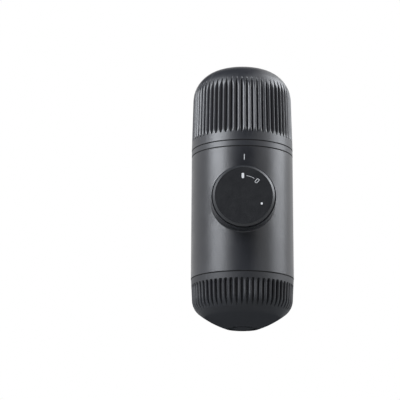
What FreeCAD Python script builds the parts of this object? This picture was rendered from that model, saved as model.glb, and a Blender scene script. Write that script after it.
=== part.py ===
import FreeCAD, Part
import math
import os
from collections import namedtuple

from FreeCAD import Vector

# Handheld manual espresso maker, standing on its cup with the water tank on top.
# Millimetres. Origin at the centre of the foot, +Z up the body's axis, pump knob facing -Y.

# --- outside: the four parts that are stacked along the axis, from the foot up
cup_height = 28.5
shell_height = 73.1
collar_height = 3.6
tank_height = 50.0

shell_radius = 30.0
shell_taper = 0.2           # narrower at the top
shell_wall = 2.3
seam_chamfer = 0.3

tank_rim_step = 0.05        # tank's rim stands out from the collar
tank_draft = 1.5            # degrees
tank_shoulder_radius = 18.3
tank_crown_radius = 75.0
tank_wall = 2.8

cup_rim_step = 0.1          # cup's rim stands in from the shell
cup_draft = 2.7             # degrees
cup_shoulder_height = 16.7  # centre of the shoulder's arc above the foot
cup_shoulder_radius = 10.5
cup_belly_radius = 56.0
cup_wall = 2.7
cup_floor = 3.0
foot_radius = 9.7
foot_rim = 1.2              # width of the foot's outer rim
foot_groove = 3.0
foot_groove_depth = 0.8

# --- grip grooves round the tank and the cup
groove_count = 59
groove_width = 1.6
groove_depth = 1.7
groove_runout = 1.2
tank_band = 5.0             # plain band under the tank's grooves
cup_band = 3.6              # plain band above the cup's grooves
cup_groove_end = 9.6        # height at which a cup groove has run out

# --- clearances
seat_gap = 0.1              # round face in a round seat, both fixed
running_gap = 0.1           # piston in barrel, knob on its journal
moving_gap = 0.35           # parts that pass each other without guiding
cup_gap = 0.3               # cup over the outlet head
home_gap = 0.5              # left in front of the piston when it is home

# --- pump knob, on a crosswise axis; distances are measured outwards from the body's axis
knob_height = 69.6
knob_reach = 41.0
knob_radius = 17.6
knob_bevel = 1.2
knob_skirt_wall = 1.5
knob_skirt_length = 25.0
knob_plate = 2.4
face_thickness = 0.8
face_border = 1.4           # knob's rim round the face disc
knob_stand = 3.0            # knob stands out of the boss when it is home
boss_lip = 0.4
boss_draft = 0.5            # degrees
boss_root = 10.0            # the boss starts this far from the axis, inside the shell
boss_fillet = 0.6

# --- pump
stroke = 16.0
barrel_bore = 6.2
barrel_wall = 2.3
barrel_proud = 2.35         # barrel in front of the frame's front plate
barrel_mouth = 1.5          # barrel left in front of the piston at the end of its stroke
barrel_socket = 3.5         # length of barrel that sits in the block
barrel_lip = 0.8            # barrel left beyond the sealing ring
piston_length = 7.0
rod_radius = 4.5
journal_radius = 3.0
ring_wire = 0.6
ring_spacing = 3.6
washer_radius = 6.5
washer_thickness = 0.8

lug_height = 2.1
lug_length = 2.0
lug_angle = 20.0            # degrees of the barrel that one lug covers
lug_count = 2
lug_place = 90.0            # degrees; the first lug is at the top
lock_turn = 43.0            # degrees from free to locked
track_gap_angle = 2.0
track_gap = 0.3
track_wall = 2.4            # sleeve left beyond the track's end
ledge_length = 1.8
sleeve_wall = 2.7
sleeve_flange = 2.0
sleeve_flange_lip = 0.15    # flange beyond the spring
sleeve_screw_count = 3

spring_side_gap = 0.9       # spring round the sleeve
spring_wire = 0.65
spring_turns = 6.0

# --- pump frame between the two decks
plate_thickness = 2.4
rail_thickness = 2.4
rail_half_height = 9.0
pillar_radius = 3.0
upper_pillar_length = 7.0
lower_pillar_length = 5.0
pillar_sink = 0.15          # overlap of a pillar and its plate
front_pillar_inset = 5.1    # from the end of the front plate
back_pillar_gap = 1.6       # between a back pillar and the valve tower

# --- pump block and its valves
block_side_gap = 1.2
block_cheek = 1.3           # block over and under the barrel
block_web = 1.6             # between the barrel's end and the valves' chambers
tower_wall = 2.0            # each side of the valves' chambers
port_radius = 1.2
seat_radius = 1.4
seat_length = 2.0
chamber_radius = 2.6
chamber_length = 8.5
ball_radius = 2.0
valve_spring_radius = 1.7
valve_spring_wire = 0.25
valve_spring_turns = 5.0
duct_outer_radius = 3.2
duct_bore_radius = 1.8
duct_socket = 4.0
delivery_outer_radius = 2.5
delivery_bore_radius = 1.4
delivery_insert = 1.2

# --- upper deck and the tank's thread
deck_thickness = 3.0
collar_spigot = 2.0
neck_step = 3.2             # deck left outside the neck
neck_wall = 2.5
neck_top = 9.3              # neck above the collar
thread_height = 1.0
thread_root_width = 1.2
thread_crest_width = 0.7
thread_lead = 6.0
thread_starts = 2
thread_clearance = 0.3
tank_thread_turns = 1.0
head_thread_turns = 0.5
tank_skirt = 10.5           # thick threaded part of the tank's wall
tank_seal_height = 1.6
tank_seal_width = 1.7
filter_radius = 6.0
filter_thickness = 0.6
filter_hole_radius = 0.5
air_valve_radius = 3.6
air_valve_stem = 2.4
air_valve_place = (0.0, -6.0)
deck_boss_height = 3.2

# --- brew socket, basket and outlet head
ledge_width = 1.9
ledge_height = 2.0
ledge_above_seam = 17.5     # underside of the shell's ledge above the cup
socket_disc = 3.0
socket_skirt_wall = 2.0
socket_skirt_length = 10.0
shower_thickness = 1.2
shower_space = 2.6
shower_hole_radius = 0.55
shower_screw_radius = 1.4
shower_boss_radius = 4.2
gasket_thickness = 1.2
gasket_width = 2.6
basket_depth = 13.7
basket_wall = 0.4
basket_rim_width = 1.0
basket_rim_thickness = 0.8
basket_hole_radius = 0.4
head_side_gap = 1.1         # outlet head inside the shell
head_top_gap = 0.5          # outlet head under the brew socket's disc
head_wall = 1.8
head_floor = 2.3
head_skirt = 1.6            # straight wall below the head's floor
head_chamfer = 3.0
head_cone_radius = 8.0
head_cone_drop = 4.8        # height of the head's cone
spout_radius = 3.5
spout_bore_radius = 1.7
spout_flange_radius = 5.2
spout_flange = 1.0
spout_drop = 4.0            # spout below the head's cone
cup_ring_wire = 0.8
cup_ring_below_rim = 4.4

# --- screws
screw_radius = 1.1
screw_head_radius = 2.0
screw_head = 1.4
screw_recess_radius = 0.9
screw_recess_depth = 0.8
screw_bite = 6.0
block_screw_bite = 4.0

# --- heights and radii that follow from the values above
collar_base = cup_height + shell_height
tank_base = collar_base + collar_height
overall_height = tank_base + tank_height
shell_top_radius = shell_radius - shell_taper
tank_rim_radius = shell_top_radius + tank_rim_step
cup_rim_radius = shell_radius - cup_rim_step
inner_radius = shell_top_radius - shell_wall
deck_radius = inner_radius - seat_gap
neck_radius = deck_radius - neck_step
deck_top = collar_base - collar_spigot
deck_base = deck_top - deck_thickness
ledge_base = cup_height + ledge_above_seam
socket_top = ledge_base
socket_base = socket_top - socket_disc
ledge_radius = inner_radius - ledge_width

boss_reach = knob_reach - knob_stand
bore_radius = knob_radius + moving_gap
face_radius = knob_radius - face_border
skirt_inner_radius = knob_radius - knob_skirt_wall
skirt_end = knob_reach - knob_skirt_length
face_back = knob_reach - face_thickness
plate_back = face_back - knob_plate
plate_front = skirt_end - moving_gap
plate_rear = plate_front - plate_thickness
front_plate_half_width = math.sqrt((ledge_radius - seat_gap) ** 2 - plate_front ** 2)

barrel_radius = barrel_bore + barrel_wall
barrel_reach = plate_front + barrel_proud
barrel_depth = stroke + piston_length + home_gap + barrel_mouth - barrel_reach
block_front = barrel_depth - barrel_socket
sleeve_inner_radius = barrel_radius + moving_gap
sleeve_radius = sleeve_inner_radius + sleeve_wall
spring_radius = sleeve_radius + spring_side_gap + spring_wire
sleeve_flange_radius = spring_radius + spring_wire + sleeve_flange_lip
sleeve_screw_circle = (sleeve_inner_radius + sleeve_flange_radius) / 2
lug_radius = barrel_radius + lug_height
track_radius = lug_radius + moving_gap
lug_back = barrel_reach - lug_length
track_end = lug_back - stroke - track_gap
sleeve_end = track_end - track_wall
flange_back = plate_back - sleeve_flange
piston_home = -barrel_depth + home_gap
piston_front = piston_home + piston_length
shoulder = plate_back - washer_thickness

back_plate_half_width = sleeve_radius + 2 * moving_gap + rail_thickness
back_plate_depth = math.sqrt((ledge_radius - seat_gap) ** 2 - back_plate_half_width ** 2) - plate_thickness
block_half_width = back_plate_half_width - rail_thickness - block_side_gap
block_half_height = barrel_radius + block_cheek
tower_half_width = chamber_radius + tower_wall
front_pillar_side = front_plate_half_width - front_pillar_inset
back_pillar_side = tower_half_width + back_pillar_gap + pillar_radius
passage_depth = barrel_depth + block_web + chamber_radius
lower_seat = knob_height - seat_length - seat_radius
upper_seat = knob_height + seat_radius + chamber_length + seat_length / 2
tower_base = lower_seat - chamber_length
tower_top = upper_seat + seat_length + duct_socket
ball_drop = math.sqrt(ball_radius ** 2 - seat_radius ** 2)

shower_top = socket_base - shower_space
shower_base = shower_top - shower_thickness
basket_rim = shower_base - gasket_thickness
basket_base = basket_rim - basket_depth
head_radius = inner_radius - head_side_gap
head_bore = head_radius - head_wall
socket_skirt_radius = head_bore - thread_height - thread_clearance
socket_bore = socket_skirt_radius - socket_skirt_wall
socket_end = socket_base - socket_skirt_length
basket_radius = socket_bore - moving_gap - basket_rim_width
cup_bore = head_radius + cup_gap
cup_ring_radius = cup_bore - seat_gap - cup_ring_wire
cup_ring_height = cup_height - cup_ring_below_rim
head_top = socket_base - head_top_gap
floor_base = basket_base - head_floor
neck_thread_low = tank_base + thread_root_width
head_thread_height = thread_lead * head_thread_turns + thread_root_width
socket_thread_low = socket_base - thread_root_width - head_thread_height
head_thread_low = head_top - thread_clearance - head_thread_height
skirt_base = floor_base - head_skirt
cone_top = skirt_base - head_chamfer
head_cone_height = cone_top - head_cone_drop
spout_tip = head_cone_height - spout_drop

Arc = namedtuple("Arc", "mid end")


# --- building blocks

def profile(steps):
    """A flat face in the XZ plane; a step is a point (radius, height) or an Arc."""
    edges = []
    here = steps[0]
    for step in steps[1:] + steps[:1]:
        there = step.end if isinstance(step, Arc) else step
        start = Vector(here[0], 0, here[1])
        finish = Vector(there[0], 0, there[1])
        if isinstance(step, Arc):
            middle = Vector(step.mid[0], 0, step.mid[1])
            edges.append(Part.Arc(start, middle, finish).toShape())
        elif not start.isEqual(finish, 1e-6):
            edges.append(Part.LineSegment(start, finish).toShape())
        here = there
    return Part.Face(Part.Wire(edges))


def turned(steps, angle=360.0):
    return profile(steps).revolve(Vector(), Vector(0, 0, 1), angle)


def tube(inner, outer, low, high):
    return turned([(inner, low), (outer, low), (outer, high), (inner, high)])


def rod(radius, low, high, x=0.0, y=0.0):
    return Part.makeCylinder(radius, high - low, Vector(x, y, low))


def box(x_low, x_high, y_low, y_high, z_low, z_high):
    size = (x_high - x_low, y_high - y_low, z_high - z_low)
    return Part.makeBox(*size, Vector(x_low, y_low, z_low))


def sector(inner, outer, low, high, middle_angle, width_angle):
    """Part of a tube, middle_angle counted anticlockwise from +X."""
    piece = turned([(inner, low), (outer, low), (outer, high), (inner, high)], width_angle)
    piece.rotate(Vector(), Vector(0, 0, 1), middle_angle - width_angle / 2)
    return piece


def ring_of_wire(radius, wire, height):
    return Part.makeTorus(radius, wire, Vector(0, 0, height))


def around(shape, count, start_angle=0.0):
    copies = []
    for index in range(count):
        copy = shape.copy()
        copy.rotate(Vector(), Vector(0, 0, 1), start_angle + index * 360.0 / count)
        copies.append(copy)
    return copies


def joined(shapes):
    return shapes[0].fuse(shapes[1:]).removeSplitter()


def facing(shape):
    """Turns a shape modelled up the Z axis to point outwards along the knob's axis."""
    turned_shape = shape.copy()
    turned_shape.rotate(Vector(), Vector(1, 0, 0), 90)
    turned_shape.translate(Vector(0, 0, knob_height))
    return turned_shape


def coil(radius, wire, low, high, turns):
    """An open helical spring between two heights."""
    rise = high - low - 2 * wire
    helix = Part.makeHelix(rise / turns, rise, radius)
    circle = Part.Circle(Vector(radius, 0, 0), Vector(0, 1, 0), wire).toShape()
    spring = helix.makePipeShell([Part.Wire(circle)], True, True)
    spring.translate(Vector(0, 0, low + wire))
    return spring


def screw(seat, bite):
    """Head above the seat height, shank going down from it, with a round driver recess."""
    head = rod(screw_head_radius, seat, seat + screw_head)
    shank = rod(screw_radius, seat - bite, seat)
    recess = rod(screw_recess_radius, seat + screw_head - screw_recess_depth, seat + screw_head)
    return joined([head, shank]).cut(recess)


def upside_down(shape, height):
    flipped = shape.copy()
    flipped.rotate(Vector(0, 0, height), Vector(1, 0, 0), 180)
    return flipped


def save(node, *solids):
    shape = solids[0] if len(solids) == 1 else Part.makeCompound(list(solids))
    shape.exportStep("parts/" + node + ".step")


# --- outlines of the tank and the cup

def dome_steps(inset):
    """Drafted wall, shoulder arc and crown arc of the tank, inset by a wall's thickness."""
    draft = math.radians(tank_draft)
    wall_line = tank_rim_radius * math.cos(draft) + tank_base * math.sin(draft)
    crown_centre = overall_height - tank_crown_radius
    reach = tank_crown_radius - tank_shoulder_radius
    # the shoulder's centre lies tank_shoulder_radius inside the wall line, reach from the crown's
    along = (wall_line - tank_shoulder_radius - crown_centre * math.sin(draft))
    lift = math.sqrt(reach ** 2 - along ** 2)
    centre_r = along * math.cos(draft) - lift * math.sin(draft)
    centre_z = crown_centre + along * math.sin(draft) + lift * math.cos(draft)
    shoulder_radius = tank_shoulder_radius - inset
    crown_radius = tank_crown_radius - inset
    top_angle = math.atan2(centre_z - crown_centre, centre_r)
    mid_angle = (draft + top_angle) / 2

    def on_shoulder(angle):
        return (centre_r + shoulder_radius * math.cos(angle),
                centre_z + shoulder_radius * math.sin(angle))

    crown_mid = (top_angle + math.pi / 2) / 2
    return [
        on_shoulder(draft),
        Arc(on_shoulder(mid_angle), on_shoulder(top_angle)),
        Arc((crown_radius * math.cos(crown_mid), crown_centre + crown_radius * math.sin(crown_mid)),
            (0, crown_centre + crown_radius)),
    ]


def tank_radius(height, inset=0.0):
    """Radius of the tank's drafted wall at a height."""
    draft = math.radians(tank_draft)
    return tank_rim_radius - (height - tank_base) * math.tan(draft) - inset / math.cos(draft)


def cup_radius(height, inset=0.0):
    """Radius of the cup's drafted wall at a height."""
    draft = math.radians(cup_draft)
    return cup_rim_radius - (cup_height - height) * math.tan(draft) - inset / math.cos(draft)


def cup_shoulder_centre():
    draft = math.radians(cup_draft)
    centre_r = cup_radius(cup_shoulder_height) - cup_shoulder_radius / math.cos(draft)
    return centre_r, cup_shoulder_height


def cup_belly_centre():
    """Centre of the arc that runs from the foot and meets the shoulder's arc smoothly."""
    centre_r, centre_z = cup_shoulder_centre()
    away = cup_belly_radius - cup_shoulder_radius
    span_r, span_z = centre_r - foot_radius, centre_z
    span = math.hypot(span_r, span_z)
    along = (span ** 2 + cup_belly_radius ** 2 - away ** 2) / (2 * span)
    aside = math.sqrt(cup_belly_radius ** 2 - along ** 2)
    unit_r, unit_z = span_r / span, span_z / span
    return foot_radius + along * unit_r - aside * unit_z, along * unit_z + aside * unit_r


def cup_steps(inset, floor):
    """The cup's outline from the floor height up to the end of its shoulder."""
    centre_r, centre_z = cup_shoulder_centre()
    belly_r, belly_z = cup_belly_centre()
    draft = math.radians(cup_draft)
    belly = cup_belly_radius - inset
    shoulder_radius = cup_shoulder_radius - inset
    start_angle = math.asin((floor - belly_z) / belly)
    meet_angle = math.atan2(centre_z - belly_z, centre_r - belly_r)
    shoulder_end = -draft

    def on_belly(angle):
        return belly_r + belly * math.cos(angle), belly_z + belly * math.sin(angle)

    def on_shoulder(angle):
        return (centre_r + shoulder_radius * math.cos(angle),
                centre_z + shoulder_radius * math.sin(angle))

    return [
        on_belly(start_angle),
        Arc(on_belly((start_angle + meet_angle) / 2), on_belly(meet_angle)),
        Arc(on_shoulder((meet_angle + shoulder_end) / 2), on_shoulder(shoulder_end)),
    ]


def grooved(body, section):
    """Cuts groove_count grooves, each a bar with this section in a plane through the axis."""
    bar = section.extrude(Vector(0, groove_width, 0))
    bar.translate(Vector(0, -groove_width / 2, 0))
    return body.cut(around(bar, groove_count))


# --- threads

def thread(root_radius, outward, low, turns):
    """Multi-start ridges on a wall of root_radius, standing outwards or inwards from it."""
    side = 1 if outward else -1
    sunk = root_radius - side * seat_gap * 2
    crest = root_radius + side * thread_height
    slope = (thread_root_width - thread_crest_width) / 2
    corners = [Vector(sunk, 0, 0), Vector(crest, 0, slope), Vector(crest, 0, slope + thread_crest_width),
               Vector(sunk, 0, thread_root_width), Vector(sunk, 0, 0)]
    helix = Part.makeHelix(thread_lead, thread_lead * turns, sunk)
    ridge = helix.makePipeShell([Part.makePolygon(corners)], True, True)
    ridge.translate(Vector(0, 0, low))
    return around(ridge, thread_starts)


def mating_thread(root_radius, low, mate_low, turns):
    """Inward ridges that lie half a pitch from the ridges of a thread that starts at mate_low."""
    pitch = thread_lead / thread_starts
    turn = 360.0 * (low - mate_low - pitch / 2) / thread_lead
    ridges = thread(root_radius, False, low, turns)
    for ridge in ridges:
        ridge.rotate(Vector(), Vector(0, 0, 1), turn)
    return ridges


# --- casing

def body_shell():
    outside = turned([(0, cup_height), (shell_radius - seam_chamfer, cup_height),
                      (shell_radius, cup_height + seam_chamfer),
                      (shell_top_radius, collar_base - seam_chamfer),
                      (shell_top_radius - seam_chamfer, collar_base), (0, collar_base)])
    rim_radius = bore_radius + boss_lip
    root_radius = rim_radius + (boss_reach - boss_root) * math.tan(math.radians(boss_draft))
    boss = turned([(0, boss_root), (root_radius, boss_root), (rim_radius, boss_reach), (0, boss_reach)])
    solid = outside.fuse(facing(boss))
    around_boss = [edge for edge in solid.Edges
                   if edge.BoundBox.YMax < -boss_root and edge.BoundBox.YLength > seam_chamfer
                   and edge.BoundBox.ZLength > seam_chamfer]
    solid = solid.makeFillet(boss_fillet, around_boss)
    hollow = turned([(0, cup_height), (inner_radius, cup_height), (inner_radius, ledge_base),
                     (ledge_radius, ledge_base), (ledge_radius, ledge_base + ledge_height),
                     (inner_radius, ledge_base + ledge_height + ledge_width),
                     (inner_radius, collar_base), (0, collar_base)])
    bore = facing(rod(bore_radius, 0, boss_reach))
    return solid.cut([hollow, bore])


def collar_ring():
    inner = neck_radius + seat_gap
    return turned([(inner, deck_top), (deck_radius, deck_top), (deck_radius, collar_base),
                   (shell_top_radius - seam_chamfer, collar_base),
                   (shell_top_radius, collar_base + seam_chamfer),
                   (shell_top_radius, tank_base - seam_chamfer),
                   (shell_top_radius - seam_chamfer, tank_base), (inner, tank_base)])


def tank():
    thread_radius = neck_radius + thread_height + thread_clearance
    skirt_top = tank_base + tank_skirt
    seal_radius = thread_radius + tank_seal_width + 2 * moving_gap
    seal_top = tank_base + tank_seal_height + seat_gap
    outside = turned([(0, tank_base), (tank_rim_radius - seam_chamfer, tank_base),
                      (tank_radius(tank_base + seam_chamfer), tank_base + seam_chamfer)]
                     + dome_steps(0.0))
    inside_radius = tank_radius(skirt_top + tank_wall, tank_wall)
    hollow = turned([(0, tank_base), (seal_radius, tank_base), (seal_radius, seal_top),
                     (thread_radius, seal_top), (thread_radius, skirt_top),
                     (inside_radius, skirt_top + tank_wall)] + dome_steps(tank_wall))
    groove_low = tank_base + tank_band
    beyond = tank_rim_radius + groove_depth
    floor_low = groove_low + groove_runout
    section = profile([(tank_radius(groove_low), groove_low),
                       (tank_radius(floor_low, groove_depth), floor_low),
                       (tank_radius(overall_height, groove_depth), overall_height),
                       (beyond, overall_height), (beyond, groove_low)])
    ribbed = grooved(outside, section)
    ridges = mating_thread(thread_radius, seal_top + thread_root_width, neck_thread_low, tank_thread_turns)
    return ribbed.cut(hollow).fuse(ridges)


def tank_seal():
    inner = neck_radius + thread_height + thread_clearance + moving_gap
    return tube(inner, inner + tank_seal_width, tank_base, tank_base + tank_seal_height)


def cup():
    belly = cup_steps(0.0, 0.0)
    outside = turned([(0, 0)] + belly + [(cup_radius(cup_height - seam_chamfer), cup_height - seam_chamfer),
                     (cup_rim_radius - seam_chamfer, cup_height), (0, cup_height)])
    hollow = turned([(0, cup_floor)] + cup_steps(cup_wall, cup_floor)
                    + [(cup_bore, cup_shoulder_height), (cup_bore, cup_height), (0, cup_height)])
    groove_radius = foot_radius - foot_rim
    groove = tube(groove_radius - foot_groove, groove_radius, 0, foot_groove_depth)
    section = cup_groove_section()
    return grooved(outside, section).cut([hollow, groove])


def cup_groove_section():
    """Groove floor: a drafted line, then an arc that runs out through the cup's shoulder."""
    centre_r, centre_z = cup_shoulder_centre()
    drop = centre_z - cup_groove_end
    end_r = centre_r + math.sqrt(cup_shoulder_radius ** 2 - drop ** 2)
    floor_r = cup_radius(centre_z, groove_depth)
    in_from_floor = floor_r - end_r
    floor_arc = (in_from_floor ** 2 + drop ** 2) / (2 * in_from_floor)
    arc_centre = floor_r - floor_arc
    half = math.asin(drop / floor_arc) / 2
    mid = (arc_centre + floor_arc * math.cos(half), centre_z - floor_arc * math.sin(half))
    groove_high = cup_height - cup_band
    floor_high = groove_high - groove_runout
    beyond = cup_rim_radius + groove_depth
    return profile([(floor_r, centre_z), Arc(mid, (end_r, cup_groove_end)), (beyond, cup_groove_end),
                    (beyond, groove_high), (cup_radius(groove_high), groove_high),
                    (cup_radius(floor_high, groove_depth), floor_high)])


# --- upper deck

def pillar_places():
    reach = pillar_radius - pillar_sink
    rows = [(front_pillar_side, -plate_rear + reach), (back_pillar_side, back_plate_depth - reach)]
    return [(side * x, y) for x, y in rows for side in (-1, 1)]


def tank_neck():
    neck = tube(neck_radius - neck_wall, neck_radius, deck_top, tank_base + neck_top)
    deck = rod(deck_radius, deck_base, deck_top)
    bosses = [rod(pillar_radius, deck_top, deck_top + deck_boss_height, x, y) for x, y in pillar_places()]
    ridges = thread(neck_radius, True, neck_thread_low, tank_thread_turns)
    body = joined([deck, neck] + bosses).fuse(ridges)
    holes = [rod(screw_radius, deck_base, deck_top + deck_boss_height - screw_radius, x, y)
             for x, y in pillar_places()]
    holes.append(rod(duct_bore_radius, deck_base, deck_top, 0, passage_depth))
    holes.append(rod(air_valve_stem + seat_gap, deck_base, deck_top, *air_valve_place))
    return body.cut(holes)


def perforated(disc, hole_radius, rings, low, high):
    """Cuts rings of holes, each ring given as its radius, six holes more each time."""
    holes = []
    for number, ring_radius in enumerate(rings):
        hole = rod(hole_radius, low, high, ring_radius, 0)
        holes += around(hole, 6 * (number + 1))
    return disc.cut(holes)


def inlet_filter():
    spacing = (filter_radius - 2 * filter_hole_radius) / 3
    disc = rod(filter_radius, 0, filter_thickness)
    disc = perforated(disc, filter_hole_radius, [spacing, 2 * spacing, 3 * spacing], 0, filter_thickness)
    disc.translate(Vector(0, passage_depth, deck_top))
    return disc


def air_valve():
    body = turned([(0, deck_base - 2 * air_valve_stem), (air_valve_stem / 2, deck_base - 2 * air_valve_stem),
                   (air_valve_stem, deck_base), (air_valve_stem, deck_top),
                   (air_valve_radius, deck_top), (air_valve_radius, deck_top + filter_thickness),
                   (0, deck_top + filter_thickness)])
    slit = box(-air_valve_stem / 2, air_valve_stem / 2, -seat_gap, seat_gap,
               deck_base - 2 * air_valve_stem, deck_base - air_valve_stem)
    vent = rod(seat_radius / 2, deck_base - air_valve_stem, deck_top + filter_thickness)
    valve = body.cut([slit, vent])
    valve.translate(Vector(*air_valve_place, 0))
    return valve


def suction_duct():
    return passage_tube(duct_bore_radius, duct_outer_radius, tower_top - duct_socket, deck_base)


def passage_tube(bore, outer, low, high):
    piece = tube(bore, outer, low, high)
    piece.translate(Vector(0, passage_depth, 0))
    return piece


# --- pump

def pump_barrel():
    body = tube(barrel_bore, barrel_radius, -barrel_depth, barrel_reach)
    lug = sector(barrel_radius - seat_gap, lug_radius, lug_back, barrel_reach, lug_place, lug_angle)
    lugs = around(lug, lug_count)
    groove_low = -barrel_depth + barrel_lip
    groove = tube(barrel_radius - 2 * ring_wire + seat_gap, barrel_radius + seat_gap, groove_low,
                  groove_low + 2 * ring_wire + 2 * seat_gap)
    return facing(joined([body] + lugs).cut(groove))


def barrel_seal():
    height = -barrel_depth + barrel_lip + ring_wire + seat_gap
    return facing(ring_of_wire(barrel_radius + seat_gap - ring_wire, ring_wire, height))


def pump_block():
    cheeks = box(-block_half_width, block_half_width, block_front, back_plate_depth,
                 knob_height - block_half_height, knob_height + block_half_height)
    tower = box(-tower_half_width, tower_half_width, block_front, back_plate_depth, tower_base, tower_top)
    body = joined([cheeks, tower])
    socket = facing(rod(barrel_radius + seat_gap, -barrel_depth, -block_front))
    port = facing(rod(port_radius, -passage_depth, -barrel_depth))
    y = passage_depth
    upper_floor = upper_seat - chamber_length
    passages = [
        rod(duct_outer_radius + seat_gap, tower_top - duct_socket, tower_top, 0, y),
        rod(seat_radius, upper_seat, tower_top, 0, y),
        rod(chamber_radius, upper_floor, upper_seat, 0, y),
        rod(seat_radius, lower_seat, upper_floor, 0, y),
        rod(chamber_radius, tower_base, lower_seat, 0, y),
    ]
    screw_holes = [rod(screw_radius, 0, block_screw_bite + screw_radius) for _ in block_screw_places()]
    for hole, (x, z) in zip(screw_holes, block_screw_places()):
        hole.rotate(Vector(), Vector(1, 0, 0), 90)
        hole.translate(Vector(x, back_plate_depth, z))
    return body.cut([socket, port] + passages + screw_holes)


def block_screw_places():
    x = block_half_width - screw_head_radius
    rise = block_half_height - screw_head_radius
    return [(side * x, knob_height + up * rise) for side in (-1, 1) for up in (-1, 1)]


def block_screws():
    screws = []
    for x, z in block_screw_places():
        piece = screw(0, block_screw_bite + plate_thickness)
        piece.rotate(Vector(), Vector(1, 0, 0), -90)
        piece.translate(Vector(x, back_plate_depth + plate_thickness, z))
        screws.append(piece)
    return screws


def valve_ball(seat):
    return Part.makeSphere(ball_radius, Vector(0, passage_depth, seat - ball_drop))


def valve_spring(low, seat):
    spring = coil(valve_spring_radius, valve_spring_wire, low, seat - ball_drop - ball_radius * 0.75,
                  valve_spring_turns)
    spring.translate(Vector(0, passage_depth, 0))
    return spring


def delivery_duct():
    return passage_tube(delivery_bore_radius, delivery_outer_radius, socket_top,
                        tower_base + delivery_insert)


def piston():
    ring_middle = piston_home + piston_length / 2
    body = turned([(0, piston_home), (barrel_bore - running_gap, piston_home),
                   (barrel_bore - running_gap, piston_front), (rod_radius, piston_front),
                   (rod_radius, shoulder), (journal_radius, shoulder),
                   (journal_radius, face_back - screw_head), (0, face_back - screw_head)])
    grooves = [tube(barrel_bore - 2 * ring_wire - running_gap, barrel_bore, height - ring_wire - seat_gap,
                    height + ring_wire + seat_gap) for height in piston_ring_heights(ring_middle)]
    hole = rod(screw_radius, face_back - screw_head - screw_bite - screw_radius, face_back - screw_head)
    return facing(body.cut(grooves + [hole]))


def piston_ring_heights(middle):
    return [middle - ring_spacing / 2, middle + ring_spacing / 2]


def piston_rings():
    radius = barrel_bore - ring_wire - running_gap / 2
    middle = piston_home + piston_length / 2
    return [facing(ring_of_wire(radius, ring_wire, height)) for height in piston_ring_heights(middle)]


def return_spring():
    return facing(coil(spring_radius, spring_wire, plate_front, flange_back, spring_turns))


def thrust_washer():
    return facing(tube(journal_radius + running_gap, washer_radius, shoulder, plate_back))


# --- knob

def knob_cap():
    outer = turned([(0, plate_back), (skirt_inner_radius, plate_back), (skirt_inner_radius, skirt_end),
                    (knob_radius, skirt_end), (knob_radius, knob_reach - knob_bevel),
                    (knob_radius - knob_bevel, knob_reach), (face_radius + seat_gap, knob_reach),
                    (face_radius + seat_gap, face_back), (0, face_back)])
    journal_hole = rod(journal_radius + running_gap, plate_back, face_back)
    head_recess = rod(2 * screw_head_radius + seat_gap, face_back - screw_head, face_back)
    return facing(outer.cut([journal_hole, head_recess] + sleeve_screw_holes()))


def sleeve_screw_holes():
    shank = rod(screw_radius + seat_gap, flange_back, face_back, sleeve_screw_circle, 0)
    head = rod(screw_head_radius + seat_gap, face_back - screw_head, face_back, sleeve_screw_circle, 0)
    return around(shank.fuse(head), sleeve_screw_count, lug_place)


def sleeve_screws():
    piece = screw(face_back - screw_head, knob_plate - screw_head + sleeve_flange)
    piece.translate(Vector(sleeve_screw_circle, 0, 0))
    return [facing(copy) for copy in around(piece, sleeve_screw_count, lug_place)]


def knob_screw():
    """Wide-headed screw that keeps the cap on the rod's journal."""
    seat = face_back - screw_head
    head = rod(2 * screw_head_radius, seat, face_back)
    shank = rod(screw_radius, seat - screw_bite, seat)
    recess = rod(2 * screw_recess_radius, face_back - screw_recess_depth, face_back)
    return facing(joined([head, shank]).cut(recess))


def knob_face():
    return facing(rod(face_radius, face_back, knob_reach))


def knob_sleeve():
    """Sleeve round the barrel; each track is wide enough to turn in, with a ledge for the lock."""
    body = turned([(sleeve_inner_radius, sleeve_end), (sleeve_radius, sleeve_end),
                   (sleeve_radius, flange_back), (sleeve_flange_radius, flange_back),
                   (sleeve_flange_radius, plate_back), (sleeve_inner_radius, plate_back)])
    track_angle = lock_turn + lug_angle + 2 * track_gap_angle
    track_middle = lug_place - lock_turn / 2
    ledge_angle = lug_angle + track_gap_angle
    ledge_middle = lug_place - lock_turn - track_gap_angle / 2
    ledge_high = lug_back - track_gap
    inner = sleeve_inner_radius - seat_gap
    for index in range(lug_count):
        turn = index * 360.0 / lug_count
        track = sector(inner, track_radius, track_end, barrel_reach + track_gap, track_middle + turn,
                       track_angle)
        ledge = sector(sleeve_inner_radius, track_radius + seat_gap, ledge_high - ledge_length, ledge_high,
                       ledge_middle + turn, ledge_angle)
        body = body.cut(track).fuse(ledge)
    return facing(body.removeSplitter().cut(sleeve_screw_pilots()))


def sleeve_screw_pilots():
    pilot = rod(screw_radius, flange_back, plate_back, sleeve_screw_circle, 0)
    return around(pilot, sleeve_screw_count, lug_place)


# --- frame

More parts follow.
